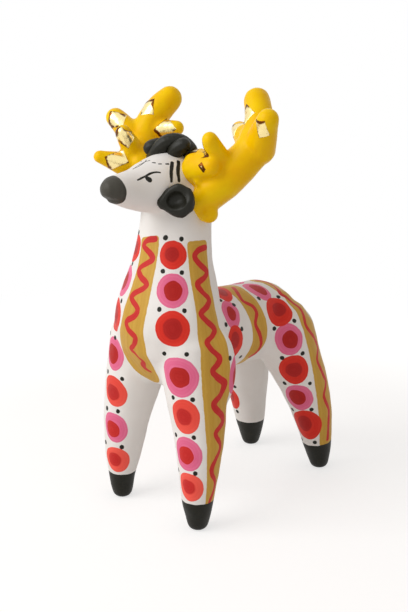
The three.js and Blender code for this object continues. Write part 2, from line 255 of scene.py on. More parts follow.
def add(tree, kind, inputs, **settings):
    """Adds one node. Its inputs are plain values, or the sockets that feed it."""
    made = tree.nodes.new("ShaderNode" + kind)
    for name, value in settings.items():
        setattr(made, name, value)
    for name, value in inputs.items():
        if isinstance(value, bpy.types.NodeSocket):
            tree.links.new(value, made.inputs[name])
        else:
            made.inputs[name].default_value = value
    return made


def new_material(name):
    material = bpy.data.materials.new(name)
    material.use_nodes = True
    material.node_tree.nodes.clear()
    return material, material.node_tree


def end_material(tree, relief, inputs):
    """Ends a material in the surface that the inputs describe, with its relief, in millimetres, as bumps."""
    bump = add(tree, "Bump", {"Height": relief, "Distance": mm, "Strength": 1.0}).outputs[0]
    surface = add(tree, "BsdfPrincipled", {**inputs, "Normal": bump}).outputs[0]
    add(tree, "OutputMaterial", {"Surface": surface})


mix_a, mix_b, mix_result = 6, 7, 2  # a colour Mix node's sockets
noise_low, noise_high = 0.3, 0.7  # nearly all of a noise's values lie between these
bristle_width = 0.9  # how wide the marks of the bristles are
streak_widths = {"ochre": 1.3, "wave": 0.8, "pink": 1.0, "red": 1.1, "heart": 0.9}
tremble_width = 2.6  # how long the small wanderings of a paint's edge are
tremble_reach = 0.5  # how far it wanders from one side to the other
cloud_width = 17  # how wide the whitewash's clouds are
grain_width = 0.5  # how coarse the clay's grain is
edge_softness = 0.12  # how far to either side of its edge a coat of paint fades
heart_softness = 0.5  # the same for a heart that was set into a wet red spot
whitewash_roughness, tempera_roughness = 0.66, 0.46
dry_roughness = 0.2  # how much rougher both are where the brush ran dry
coat_height, mark_height, grain_height = 0.05, 0.02, 0.012
foreleg_top, body_bottom = 40, 80  # Z, between which the forelegs' lighter red, a painted brightening for the stronger light on them, deepens to the body's red
shoulder_end, haunch_start = -10, 10  # Y, between which it does so too
nose_sheen_start, nose_sheen_full = -54, -57  # Y, between which the black goes over to the nose's lighter grey, which is a painted sheen


def tempera_on_whitewash():
    """Fired clay under chalk whitewash, which is matte and a little cloudy, painted with tempera.

    Tempera dries to a soft sheen, keeps the marks of the brush and stands slightly proud. The paints' edges
    come from the skin's own attributes, which hold the distance from each edge in millimetres.
    """
    material, tree = new_material("tempera_on_whitewashed_clay")
    place = add(tree, "TexCoord", {}).outputs["Object"]
    bristle = add(tree, "TexNoise", {0: place, "Scale": per(bristle_width), "Detail": 3.0}).outputs[0]
    tremble = add(tree, "TexNoise", {0: place, "Scale": per(tremble_width), "Detail": 2.0}).outputs[0]
    cloud = add(tree, "TexNoise", {0: place, "Scale": per(cloud_width), "Detail": 3.0}).outputs[0]
    centred = add(tree, "Math", {0: tremble, 1: 0.5}, operation="SUBTRACT").outputs[0]
    ragged = add(tree, "Math", {0: centred, 1: tremble_reach}, operation="MULTIPLY").outputs[0]

    def field(layer):
        read = add(tree, "Attribute", {}, attribute_name="paint_" + layer).outputs["Fac"]
        return add(tree, "Math", {0: read, 1: ragged}, operation="ADD").outputs[0]

    def streaks(layer):
        """Marks of the bristles, which run along the edge of a paint at every depth."""
        width = streak_widths[layer]
        bent = add(tree, "Math", {0: tremble, 1: width}, operation="MULTIPLY").outputs[0]
        depth = add(tree, "Math", {0: fields[layer], 1: bent}, operation="ADD").outputs[0]
        return add(tree, "TexNoise", {"W": depth, "Scale": 1 / width}, noise_dimensions="1D").outputs[0]

    def tone(amount, thin, thick):
        """A colour between the brush's thin and thick marks."""
        span = {"Value": amount, "From Min": noise_low, "From Max": noise_high}
        share = add(tree, "MapRange", span).outputs[0]
        colours = {0: share, mix_a: linear(thin), mix_b: linear(thick)}
        return add(tree, "Mix", colours, data_type="RGBA").outputs[mix_result]

    # How much of each paint there is. A heart's edge is softer where it was set into wet red.
    fields = {layer: field(layer) for layer in layers}
    covers = {}
    for layer, distance in fields.items():
        span = {"Value": distance, "From Min": -edge_softness, "From Max": edge_softness}
        covers[layer] = add(tree, "MapRange", span, interpolation_type="SMOOTHSTEP").outputs[0]
    span = {"Value": fields["heart"], "From Min": -heart_softness, "From Max": heart_softness}
    blurred = add(tree, "MapRange", span, interpolation_type="SMOOTHSTEP").outputs[0]
    covers["heart"] = add(tree, "Mix", {0: covers["red"], 2: covers["heart"], 3: blurred}).outputs[0]

    # Where on the deer the forelegs' painted-light reds give way to the deeper reds, and where the nose's
    # painted sheen begins
    split = add(tree, "SeparateXYZ", {0: place}).outputs
    span = {"Value": split["Z"], "From Min": foreleg_top * mm, "From Max": body_bottom * mm}
    high = add(tree, "MapRange", span).outputs[0]
    span = {"Value": split["Y"], "From Min": shoulder_end * mm, "From Max": haunch_start * mm}
    rearwards = add(tree, "MapRange", span).outputs[0]
    on_the_body = add(tree, "Math", {0: high, 1: rearwards}, operation="MAXIMUM").outputs[0]
    span = {"Value": split["Y"], "From Min": nose_sheen_start * mm, "From Max": nose_sheen_full * mm}
    nose_sheen_share = add(tree, "MapRange", span).outputs[0]

    coats = {
        "ochre": tone(streaks("ochre"), "#C7993A", "#D5AA4A"),
        "wave": tone(streaks("wave"), "#C42524", "#D23431"),
        "pink": tone(streaks("pink"), "#E5638D", "#EF7BA0"),
    }
    # The forelegs' lighter reds and hearts are painted light: brighter copies of the body's reds for the
    # stronger light on the forelegs.
    lit_leg_red = tone(streaks("red"), "#F6584A", "#FE6455")
    body_red = tone(streaks("red"), "#DC2A1E", "#E63A2A")
    lit_leg_heart = tone(streaks("heart"), "#C82422", "#D2302C")
    body_heart = tone(streaks("heart"), "#AE1A17", "#BA2420")
    # The nose's lighter grey is a painted sheen on the black paint, not a paint of its own.
    black, nose_sheen_grey = tone(bristle, "#17170F", "#201F17"), linear("#4A4841")
    two_part_coats = {
        "red": {0: on_the_body, mix_a: lit_leg_red, mix_b: body_red},
        "heart": {0: on_the_body, mix_a: lit_leg_heart, mix_b: body_heart},
        "black": {0: nose_sheen_share, mix_a: black, mix_b: nose_sheen_grey},
    }
    for layer, colours in two_part_coats.items():
        coats[layer] = add(tree, "Mix", colours, data_type="RGBA").outputs[mix_result]

    colour = tone(cloud, "#EFECE8", "#F5F3F0")
    painted = 0.0
    for layer in layers:
        colours = {0: covers[layer], mix_a: colour, mix_b: coats[layer]}
        colour = add(tree, "Mix", colours, data_type="RGBA").outputs[mix_result]
        painted = add(tree, "Math", {0: painted, 1: covers[layer]}, operation="MAXIMUM").outputs[0]

    # Whitewash is matte and tempera has a sheen. Both are rougher where the brush ran dry.
    sheen = add(tree, "Mix", {0: painted, 2: whitewash_roughness, 3: tempera_roughness}).outputs[0]
    dryness = add(tree, "Math", {0: centred, 1: dry_roughness}, operation="MULTIPLY").outputs[0]
    roughness = add(tree, "Math", {0: sheen, 1: dryness}, operation="ADD").outputs[0]

    # Relief in millimetres: the coat of paint, the bristles' marks in it, and the clay's grain
    coat = add(tree, "Math", {0: painted, 1: coat_height}, operation="MULTIPLY").outputs[0]
    grain = add(tree, "TexNoise", {0: place, "Scale": per(grain_width), "Detail": 4.0}).outputs[0]
    fine = add(tree, "Math", {0: grain, 1: grain_height}, operation="MULTIPLY").outputs[0]
    marks = add(tree, "Math", {0: bristle, 1: mark_height}, operation="MULTIPLY").outputs[0]
    texture = add(tree, "Math", {0: fine, 1: marks}, operation="ADD").outputs[0]
    relief = add(tree, "Math", {0: coat, 1: texture}, operation="ADD").outputs[0]
    end_material(tree, relief, {"Base Color": colour, "Roughness": roughness, "Specular IOR Level": 0.2})
    return material


brush_relief = 0.03  # how deep the bristles' marks are in the thick paints of the antlers, ears and forelock
crease_relief = 0.1
dark_start, dark_full = 1.12, 1.3  # how dark the leaf is painted where the brown begins to show, and where it is full: partly bare size, partly a painted dark reflection


def yellow_tempera():
    """Egg-yolk tempera in two coats: a deep yellow with a satin sheen, more orange where it ran thick."""
    material, tree = new_material("yellow_tempera_on_clay")
    place = add(tree, "TexCoord", {}).outputs["Object"]
    cloud = add(tree, "TexNoise", {"Vector": place, "Scale": per(9), "Detail": 3.0}).outputs[0]
    bristle = add(tree, "TexNoise", {"Vector": place, "Scale": per(1.1), "Detail": 3.0}).outputs[0]
    span = {"Value": cloud, "From Min": noise_low, "From Max": noise_high}
    share = add(tree, "MapRange", span).outputs[0]
    colours = {0: share, mix_a: linear("#F8BE00"), mix_b: linear("#FFD400")}
    colour = add(tree, "Mix", colours, data_type="RGBA").outputs[mix_result]
    roughness = add(tree, "MapRange", {"Value": bristle, "To Min": 0.3, "To Max": 0.42}).outputs[0]
    relief = add(tree, "Math", {0: bristle, 1: brush_relief}, operation="MULTIPLY").outputs[0]
    end_material(tree, relief, {"Base Color": colour, "Roughness": roughness, "Specular IOR Level": 0.12})
    return material


def black_tempera():
    """Lamp-black tempera: a warm, slightly green black with a satin sheen that shows the brush."""
    material, tree = new_material("black_tempera_on_clay")
    place = add(tree, "TexCoord", {}).outputs["Object"]
    bristle = add(tree, "TexNoise", {"Vector": place, "Scale": per(1.2), "Detail": 3.0}).outputs[0]
    colours = {0: bristle, mix_a: linear("#17170F"), mix_b: linear("#222118")}
    colour = add(tree, "Mix", colours, data_type="RGBA").outputs[mix_result]
    roughness = add(tree, "MapRange", {"Value": bristle, "To Min": 0.36, "To Max": 0.5}).outputs[0]
    relief = add(tree, "Math", {0: bristle, 1: brush_relief}, operation="MULTIPLY").outputs[0]
    end_material(tree, relief, {"Base Color": colour, "Roughness": roughness, "Specular IOR Level": 0.25})
    return material


def gold_leaf():
    """Beaten metal leaf: bright pale gold, painted dark brown in its creases, towards one end and at its
    sides, partly as bare size and partly as a painted dark reflection.
    """
    material, tree = new_material("gold_leaf")
    place = add(tree, "TexCoord", {}).outputs["Object"]
    crease = add(tree, "TexNoise", {"Vector": place, "Scale": per(3.2), "Detail": 3.0}).outputs[0]
    dark_and_bare = add(tree, "Attribute", {}, attribute_name="leaf_worn").outputs["Fac"]
    spread = add(tree, "Math", {0: crease, 1: dark_and_bare}, operation="ADD").outputs[0]
    span = {"Value": spread, "From Min": dark_start, "From Max": dark_full}
    dark_or_bare_size = add(tree, "MapRange", span, interpolation_type="SMOOTHSTEP").outputs[0]
    # The brown is partly bare size and partly a painted dark reflection of the room.
    colours = {0: dark_or_bare_size, mix_a: linear("#FAE6A6"), mix_b: linear("#6A3A14")}
    colour = add(tree, "Mix", colours, data_type="RGBA").outputs[mix_result]
    relief = add(tree, "Math", {0: crease, 1: crease_relief}, operation="MULTIPLY").outputs[0]
    end_material(tree, relief, {"Base Color": colour, "Metallic": 1.0, "Roughness": 0.26})
    return material


# The skin: barrel, neck, head, legs and tail, luted and smoothed into one body before firing
skin_nodes = ["barrel", "neck", "head", "tail"]
skin_nodes += [leg + "_" + side for leg in ("foreleg", "hind_leg") for side in ("left", "right")]
skin_voxel = 0.65
joint_closing = 0.35  # how far the lumps grow to close the joints, taken off again once they are one
middle_x = -1.05  # the plane that the deer's two sides mirror in
elbow = (25.3, -22.5, 71), (7.6, 7.6, 18)  # clay behind the top of the foreleg: its middle and radii
croup = (6.7, 36.4, 82), (12, 12, 12)  # clay between the rump and the thigh
skin_wetting = 50  # steps of smoothing
muzzle_start = -50  # Y, ahead of which the nose keeps a closer shape
muzzle_blend = 4
muzzle_dryness = 0.42  # how much less wet the nose is
steady_below, unsteady_above = 2, 9  # Z, between which the hand's unevenness begins, above the flat soles
sole_press = 0.25  # how far the soles are pressed flat
sole_reach = 8  # Z, up to which that moves the hooves
mouth_height = 145  # Z of the groove across the front of the nose
mouth_front, front_fade = -58, 1  # Y, ahead of which the groove runs, and how gently it begins there
mouth_half, mouth_fade = 4.5, 1.5  # half its length, and how gently it ends at the sides
mouth_width = 0.9
mouth_depth = 1.0


def other_side(fillet):
    middle, radii = fillet
    return (2 * middle_x - middle[0], middle[1], middle[2]), radii


def cut_mouth(points):
    """Points with the groove that the modelling tool pressed across the nose."""
    x, y, z = points.T
    across = 1 - smoothstep(mouth_half - mouth_fade, mouth_half + mouth_fade, np.abs(x - middle_x))
    ahead = 1 - smoothstep(mouth_front - front_fade, mouth_front + front_fade, y)
    pressed = mouth_depth * np.exp(-(((z - mouth_height) / mouth_width) ** 2)) * across * ahead
    return points + pressed[:, None] * np.array([0.0, 1.0, 0.0])


def model_skin():
    fillets = [elbow, other_side(elbow), croup, other_side(croup)]
    mesh = one_shell(skin_nodes, joint_closing, skin_voxel, fillets)
    y = points_of(mesh)[:, 1]
    on_muzzle = smoothstep(muzzle_start + muzzle_blend, muzzle_start - muzzle_blend, y)
    set_points(mesh, wetted(mesh, skin_wetting, wetness - muzzle_dryness * on_muzzle))
    points = points_of(mesh) - joint_closing * normals_of(mesh)
    above = smoothstep(steady_below, unsteady_above, points[:, 2])[:, None]
    swollen = uneven(points, normals_of(mesh), swell=0.5, reach=16, seed=3.7)
    swollen = uneven(swollen, normals_of(mesh), swell=0.12, reach=5, seed=9.1)
    points = points + above * (swollen - points)
    lowest = points[:, 2].min()
    points[:, 2] -= (lowest + sole_press) * (1 - smoothstep(0, sole_reach, points[:, 2]))
    points[:, 2] = np.maximum(points[:, 2], 0)
    set_points(mesh, cut_mouth(points))
    return mesh


def edge_lengths(mesh):
    """The mean length of the edges at each point."""
    first, second = ends_of(mesh)
    points = points_of(mesh)
    length = np.linalg.norm(points[first] - points[second], axis=1)
    count = len(points)
    total = np.bincount(first, length, count) + np.bincount(second, length, count)
    return total / (np.bincount(first, minlength=count) + np.bincount(second, minlength=count))


fine_reach = 1.5  # how far from a thin brush line the skin's faces are made smaller
fine_cuts = 3  # in how many places each of their edges is cut
fine_edge = 0.6  # a cut edge is shorter than this share of skin_voxel
fine_wetting = 8


def refine(mesh, lines):
    """Smaller faces near thin brush lines, so that their edges come out clean."""
    samples = [p for line in lines for p in line]
    near = kdtree.KDTree(len(samples))
    for i, point in enumerate(samples):
        near.insert(Vector(point) * mm, i)
    near.balance()
    work = bmesh.new()
    work.from_mesh(mesh)
    edges = set()
    for face in work.faces:
        if near.find(face.calc_center_median())[2] < fine_reach * mm:
            edges.update(face.edges)
    ordered = sorted(edges, key=lambda edge: edge.index)
    bmesh.ops.subdivide_edges(work, edges=ordered, cuts=fine_cuts, use_grid_fill=True)
    work.to_mesh(mesh)
    work.free()
    fine_wetness = wetness * (edge_lengths(mesh) < fine_edge * skin_voxel)
    set_points(mesh, smoothed(mesh, points_of(mesh), fine_wetting, fine_wetness))


# Brush strokes and dabs on the skin
layers = ("ochre", "wave", "pink", "red", "heart", "black")  # from the first coat to the last
unpainted = -9.0  # a distance from the edge of the paint that is surely outside it


def curve_through(points, steps=8):
    """A smooth line through the points, with so many steps from each to the next."""
    points = [np.asarray(p, float) for p in points]
    padded = [2 * points[0] - points[1], *points, 2 * points[-1] - points[-2]]
    line = []
    for p0, p1, p2, p3 in zip(padded, padded[1:], padded[2:], padded[3:]):
        for t in np.arange(steps) / steps:
            bend = (2 * p0 - 5 * p1 + 4 * p2 - p3) * t**2 + (3 * p1 - p0 - 3 * p2 + p3) * t**3
            line.append(p1 + 0.5 * ((p2 - p0) * t + bend))
    line.append(points[-1])
    return np.array(line)


def rounded_corner(across, along, radius):
    """The distance inside two crossing edges whose corner is rounded."""
    inside = np.minimum(across, along)
    rounded = radius - np.hypot(radius - across, radius - along)
    return np.where((across < radius) & (along < radius), rounded, inside)


depths_of_deer = 360, 540, 2  # how far from the camera the deer stands: from, to and step
walk_steps = 6
dab_start = math.radians(135)  # where the brush was set down, anticlockwise from the right of the dab
dab_point = 5  # how narrow the corner is that it leaves there
dab_waves = 2, 3, 5  # how often the outline of a dab wavers in one turn
dab_wrap, stroke_wrap = -0.3, -0.2  # paint wraps round the skin until the cosine between normals is this
stroke_margin = 2  # how far outside a stroke its distance is still kept


class Painting:
    """The skin's layers of paint, each as the distance in mm inside the edge of the paint."""

    def __init__(self, mesh):
        self.mesh = mesh
        self.points = points_of(mesh)
        self.normals = normals_of(mesh)
        self.tree = tree_of(mesh)
        self.layers = {layer: np.full(len(self.points), unpainted) for layer in layers}

    def seen(self, pixel):
        """The point of the skin that the photograph shows at a pixel, or the nearest one to it."""
        line = sight_line(pixel)
        spot = self.tree.ray_cast(Vector(camera_place), line)[0]
        if spot is None:
            along = [Vector(camera_place) + depth * line for depth in range(*depths_of_deer)]
            spot = min((self.tree.find_nearest(place) for place in along), key=lambda found: found[3])[0]
        return np.array(spot)

    def snapped(self, point):
        """The nearest point of the skin, and the way that the skin faces there."""
        spot, normal, _, _ = self.tree.find_nearest(Vector(point))
        return np.array(spot), np.array(normal)

    def mirrored(self, point, lift=0.0):
        """The same place on the deer's other side."""
        return self.snapped([2 * middle_x - point[0], point[1], point[2] + lift])[0]

    def walk(self, point, towards, distance):
        """The point that lies so far from another across the skin."""
        for _ in range(walk_steps):
            normal = self.snapped(point)[1]
            level = towards - np.dot(towards, normal) * normal
            point = self.snapped(point + level / np.linalg.norm(level) * distance / walk_steps)[0]
        return point

    def lay(self, layer, chosen, field):
        """Adds paint to a layer at the chosen points."""
        before = self.layers[layer][chosen]
        self.layers[layer][chosen] = np.maximum(before, field)

    def spot(self, layer, point, wide, tall, along=(0, 0, 1), shake=0.008, corner=0.0, mirror=1):
        """A round dab. Its corner is the egg shape that a dab has where the brush was set down."""
        centre, facing = self.snapped(point)
        up = np.array(along, float)
        up -= np.dot(up, facing) * facing
        up /= np.linalg.norm(up)
        side = mirror * np.cross(up, facing)
        offset = self.points - centre
        distance = np.linalg.norm(offset, axis=1)
        chosen = (distance < max(wide, tall)) & (self.normals @ facing > dab_wrap)
        angle = np.arctan2(offset[chosen] @ up, offset[chosen] @ side)
        edge = 0.5 * wide * tall / np.sqrt((tall * np.cos(angle)) ** 2 + (wide * np.sin(angle)) ** 2)
        for waves in dab_waves:
            edge *= 1 + shake * np.cos(waves * angle + hand.uniform(0, 2 * math.pi))
        edge *= 1 + corner * np.maximum(np.cos(angle - dab_start), 0) ** dab_point
        self.lay(layer, chosen, edge - distance[chosen])

    def stroke(self, layer, line, half_widths, square=0.0):
        """A brush stroke along a line, rounded at its ends, or square with corners of the radius given."""
        line = np.asarray(line)
        half_widths = np.broadcast_to(half_widths, len(line))
        reach = half_widths.max() + stroke_margin
        low, high = line.min(0) - reach, line.max(0) + reach
        chosen = np.flatnonzero(((self.points > low) & (self.points < high)).all(1))
        points, normals = self.points[chosen], self.normals[chosen]
        field = np.full(len(chosen), unpainted)
        spans = zip(line, line[1:], half_widths, half_widths[1:])
        for start, end, start_half, end_half in spans:
            step = end - start
            t = np.clip((points - start) @ step / np.dot(step, step), 0, 1)
            distance = np.linalg.norm(points - start - t[:, None] * step, axis=1)
            facing = self.snapped((start + end) / 2)[1]
            here = start_half + t * (end_half - start_half) - distance
            field = np.where(normals @ facing > stroke_wrap, np.maximum(field, here), field)
        if square:
            along = (points - line[0]) @ (line[1] - line[0]) / np.linalg.norm(line[1] - line[0])
            field = np.where(field > -square, rounded_corner(field, along, square), field)
        self.lay(layer, chosen, field)

    def dry(self):
        """Writes the layers to the mesh."""
        for layer, field in self.layers.items():
            attribute = self.mesh.attributes.new("paint_" + layer, "FLOAT", "POINT")
            attribute.data.foreach_set("value", np.maximum(field, unpainted))


# Rows of spots: paint, the pixel of the middle, width and height of the spot, then the same of its heart.
# Widths and heights are real sizes along the skin. The dots' lists hold the pixels of their middles.
throat_row = [
    ("red", (172.7, 255.0), 11.6, 12.2, (171.8, 254.4), 6.3, 6.1),
    ("pink", (172.2, 290.8), 13.7, 14.6, (173.0, 291.0), 7.8, 8.6),
    ("red", (172.2, 329.2), 15.1, 15.1, (172.5, 329.0), 8.4, 9.0),
]
left_foreleg_row = [
    ("pink", (179.3, 377.8), 16.6, 17.2, (179.2, 377.8), 9.3, 8.9),
    ("red", (185.0, 417.5), 13.0, 15.1, (183.7, 417.4), 7.2, 7.4),
    ("pink", (187.2, 454.8), 13.2, 15.2, (185.7, 455.7), 7.6, 7.8),
    ("red", (190.1, 487.7), 11.9, 12.9, (188.4, 487.0), 6.6, 6.6),
]
right_foreleg_row = [
    ("pink", (114.2, 354.0), 11.5, 15.5, (112.8, 353.9), 7.8, 8.8),
    ("red", (114.4, 391.6), 13.2, 14.6, (112.8, 392.4), 7.4, 7.6),
    ("pink", (114.5, 428.1), 12.6, 14.4, (112.6, 429.3), 7.4, 8.0),
    ("red", (116.8, 460.1), 12.0, 12.8, (114.6, 459.6), 6.6, 6.8),
]
throat_dots = [(165.5, 237.8), (162.8, 271.2), (159.4, 309.4), (164.4, 353.6)]
shared_throat_dots = [(181.5, 239.1), (181.9, 272.7), (184.5, 310.7), (186.7, 354.3)]
left_foreleg_dots = [(173.2, 397.7), (192.7, 399.7), (175.9, 434.6), (193.9, 437.7), (178.6, 469.6)]
left_foreleg_dots += [(195.3, 473.6)]
right_foreleg_dots = [(138.9, 232.7), (132.4, 263.8), (121.3, 301.0), (115.1, 337.8), (107.9, 371.4)]
right_foreleg_dots += [(122.1, 378.9), (107.0, 408.2), (117.9, 411.3), (105.7, 442.1), (121.9, 447.2)]
shoulder_row = [
    ("red", (221.5, 291.5), 9.5, 16.0, (222.0, 292.0), 5.0, 7.6),
    ("pink", (231.5, 313.6), 9.8, 14.4, (231.6, 313.4), 5.0, 7.4),
    ("red", (235.0, 343.3), 10.7, 16.6, (235.2, 341.0), 5.8, 8.6),
]
shoulder_dots = [(220.4, 300.3), (233.9, 304.8), (226.0, 324.5), (241.9, 328.9), (230.2, 358.2)]
shoulder_dots += [(240.5, 356.9)]
haunch_row = [
    ("pink", (257.5, 289.8), 11.0, 15.5, (258.5, 289.0), 6.2, 9.8),
    ("red", (277.7, 311.5), 13.6, 14.6, (278.5, 309.5), 7.2, 7.0),
    ("pink", (289.5, 340.0), 13.5, 16.0, (290.5, 340.0), 7.6, 9.0),
    ("red", (293.8, 370.2), 14.5, 16.0, (294.0, 370.0), 8.0, 8.0),
    ("pink", (298.5, 397.8), 14.0, 15.5, (297.0, 397.3), 8.4, 9.2),
    ("red", (306.3, 425.0), 15.0, 18.0, (304.5, 423.5), 7.2, 9.8),
]
haunch_dots = [(258.9, 298.4), (278.3, 296.8), (274.2, 328.5), (294.5, 320.9), (282.0, 358.0)]
haunch_dots += [(302.6, 353.4), (284.6, 383.3), (310.0, 383.4), (292.4, 409.5), (311.4, 409.5)]
haunch_dots += [(314.9, 442.4)]
hind_dots = [(302.0, 439.0), (237.3, 411.4)]  # one on either hind leg, each on its own
dot_size = 2.15
dot_widths = 0.94, 1.06  # the least and the greatest width of a dot, as shares of dot_size
dot_heights = 0.98, 1.06  # its least and greatest height, as shares of its width
dot_shake = 0.02
heart_shake = 0.015
egg = 0.12  # how far an egg-shaped dab sticks out at its corner
right_haunch_lift = 5  # how much higher the marks on the right hind leg lie
haunch_low, haunch_high = 45, 90  # Z, between which that fades out


def haunch_lift(point):
    return float(right_haunch_lift * (1 - smoothstep(haunch_low, haunch_high, point[2])))


def no_lift(point):
    return 0.0


def paint_row(painting, row, corner=0.0, twins=True, lift=no_lift):
    """One row of spots with their hearts, and its twin on the deer's other side."""
    middles = [painting.seen(pixel) for _, pixel, *_ in row]
    for i, (paint, _, wide, tall, heart_pixel, heart_wide, heart_tall) in enumerate(row):
        last = i == len(row) - 1
        along = np.array([0.0, 0.0, 1.0]) if last else middles[max(i - 1, 0)] - middles[i + 1]
        heart = painting.seen(heart_pixel)
        painting.spot(paint, middles[i], wide, tall, along, corner=corner)
        painting.spot("heart", heart, heart_wide, heart_tall, along, heart_shake, corner)
        if twins:
            twin = painting.mirrored(middles[i], lift(middles[i]))
            twin_heart = painting.mirrored(heart, lift(heart))
            twin_along = along * [-1, 1, 1]
            painting.spot(paint, twin, wide, tall, twin_along, corner=corner, mirror=-1)
            painting.spot("heart", twin_heart, heart_wide, heart_tall, twin_along, heart_shake, corner, -1)


def paint_dots(painting, pixels, twins=True, lift=no_lift):
    """Black dots from the tip of a round brush, and their twins on the deer's other side."""
    for pixel in pixels:
        places = [painting.seen(pixel)]
        if twins:
            places.append(painting.mirrored(places[0], lift(places[0])))
        for place in places:
            wide = dot_size * hand.uniform(*dot_widths)
            painting.spot("black", place, wide, wide * hand.uniform(*dot_heights), shake=dot_shake)


# The shoulder's row runs on round the back of the foreleg, where the photograph shows only its edge:
# paint, the pixel of that edge, width and height
hidden_spots = [("pink", (232.6, 377.0), 10.0, 17.5), ("red", (226.5, 422.0), 10.0, 15.0)]
hidden_heart = 0.5  # the size of a heart as a share of its spot's
past_the_edge = 3.0  # how far behind that edge the spots' middles lie


def paint_hidden_spots(painting):
    for paint, pixel, wide, tall in hidden_spots:
        place = painting.walk(painting.seen(pixel), np.array([0.0, 1.0, 0.0]), past_the_edge)
        for spot in (place, painting.mirrored(place)):
            painting.spot(paint, spot, wide, tall)
            painting.spot("heart", spot, hidden_heart * wide, hidden_heart * tall, shake=heart_shake)


# Bands of ochre, each with a wave in red. The lists hold pixels along both edges of a band, or along a wave.
# The neck's hold pixels along its middle and the rump's along its front edge, with the band's real width at
# each. The waves' half widths are real sizes too, one for each pixel.
throat_left = [(142.0, 234.6), (140.8, 250.5), (136.7, 270.9), (130.6, 291.3), (124.0, 311.7)]
throat_left += [(121.2, 327.0), (121.6, 339.3), (124.0, 352.6), (130.6, 364.8), (143.0, 375.5)]
throat_left += [(152.5, 376.8)]
throat_right = [(159.0, 238.4), (158.4, 250.5), (155.1, 270.9), (151.0, 291.3), (146.4, 311.7)]
throat_right += [(143.4, 327.0), (143.4, 337.2), (144.9, 349.5), (149.0, 360.7), (154.0, 372.0)]
throat_right += [(154.5, 376.0)]
throat_wave = [(155.3, 239.0), (148.0, 240.0), (143.8, 245.5), (151.0, 254.5), (151.5, 260.5)]
throat_wave += [(139.5, 268.5), (140.5, 276.0), (146.5, 283.5), (143.5, 288.5), (133.0, 294.5)]
throat_wave += [(132.0, 299.5), (137.5, 308.7), (134.5, 316.0), (126.5, 321.5), (128.0, 329.0)]
throat_wave += [(135.0, 337.5), (134.0, 344.5), (131.0, 349.0), (135.0, 353.4), (139.3, 358.2)]
throat_wave += [(143.4, 361.9), (143.4, 366.1), (147.2, 369.8), (151.5, 372.2)]
throat_half = [1.35] * 16 + [1.3, 1.1, 0.8, 0.7, 0.9, 1.5, 1.0, 0.4]
neck_band = [((198.0, 240.5), 10), ((203.3, 291), 10.3), ((210.1, 331), 12.2), ((216.0, 376), 14.0)]
neck_band += [((219.5, 417), 14.8), ((218.5, 452), 12), ((211.4, 503), 7.5)]
neck_wave = [(205.3, 247.4), (199.0, 250.0), (194.6, 256.5), (200.0, 264.5), (206.8, 271.5), (204.5, 277.5)]
neck_wave += [(197.7, 284.0), (202.0, 291.5), (209.0, 299.5), (207.0, 306.5), (201.0, 313.5), (206.0, 320.5)]
neck_wave += [(214.0, 328.5), (212.5, 335.5), (207.3, 342.5), (212.0, 350.0), (219.6, 357.7), (217.5, 364.5)]
neck_wave += [(212.4, 371.0), (217.0, 377.0), (224.3, 383.5), (221.0, 394.0), (214.0, 405.5), (223.2, 419.7)]
neck_wave += [(215.7, 433.5), (220.3, 447.0), (211.7, 470.0), (215.0, 484.0), (209.4, 502.0)]
neck_half = [1.27] * 19 + [1.5] * 5 + [1.3, 1.05, 1.15, 1.05, 0.8]
girth_front = [(220.7, 287.7), (230.9, 293.6), (240.4, 303.8), (247.4, 317.2), (251.4, 329.7)]
girth_front += [(251.4, 340.7), (249.8, 349.4), (244.0, 358.0)]
girth_rear = [(236.4, 285.7), (246.7, 291.2), (256.9, 299.9), (263.2, 309.3), (267.5, 323.4), (267.9, 336.8)]
girth_rear += [(262.5, 346.0), (250.0, 357.0)]
girth_half = 5.2  # the widest that the stroke gets on either side of its middle
girth_wave_half = 1.05
girth_wave = [(233.2, 287.6), (238.0, 293.8), (242.8, 300.7), (252.4, 306.2), (256.6, 313.0), (255.5, 324.0)]
girth_wave += [(260.0, 335.0), (261.0, 344.6), (255.9, 352.8), (250.0, 356.8)]
rump_band = [((255.2, 281.5), 6), ((275, 290), 8.4), ((291, 306), 9), ((303, 329), 11)]
rump_band += [((309.8, 355.7), 12.4), ((315, 384), 13), ((318.5, 410.6), 13.2), ((319.6, 442.8), 9.8)]
rump_wave = [(272.4, 285.0), (277.5, 289.0), (281.0, 294.0), (288.1, 298.6), (297.7, 306.2), (303.2, 314.4)]
rump_wave += [(306.6, 326.7), (314.2, 337.7), (317.6, 347.3), (317.2, 359.6), (322.7, 373.4), (325.8, 381.6)]
rump_wave += [(324.0, 396.7), (328.6, 409.0), (328.6, 422.7), (327.6, 439.2)]
rump_wave_half = 1.0
band_corner = 1.6  # the radius of the corners at a band's square ends
swell_steps = 0.175, 0.385  # how far a wave's swelling goes on from point to point, at least and at most
swell_share = 0.08  # how much wider and narrower that makes the wave


def paint_wave(painting, places, halves, twin=True):
    """A wavy brush line through the places, with half its width at each of them."""
    line = curve_through(places)
    swelling = np.cumsum([hand.uniform(*swell_steps) for _ in line])
    widths = widths_along(halves) * (1 + swell_share * np.sin(swelling))
    painting.stroke("wave", line, widths)
    if twin:
        painting.stroke("wave", [painting.mirrored(p) for p in line], widths)


def widths_along(halves):
    """Half widths at the points of curve_through's line."""
    return curve_through([[half] * 3 for half in halves])[:, 0]


def between_edges(painting, left, right):
    """A band's middle line and half widths, from the pixels along its two edges."""
    left = [painting.seen(pixel) for pixel in left]
    right = [painting.seen(pixel) for pixel in right]
    places = [painting.snapped((a + b) / 2)[0] for a, b in zip(left, right)]
    return places, [np.linalg.norm(a - b) / 2 for a, b in zip(left, right)]


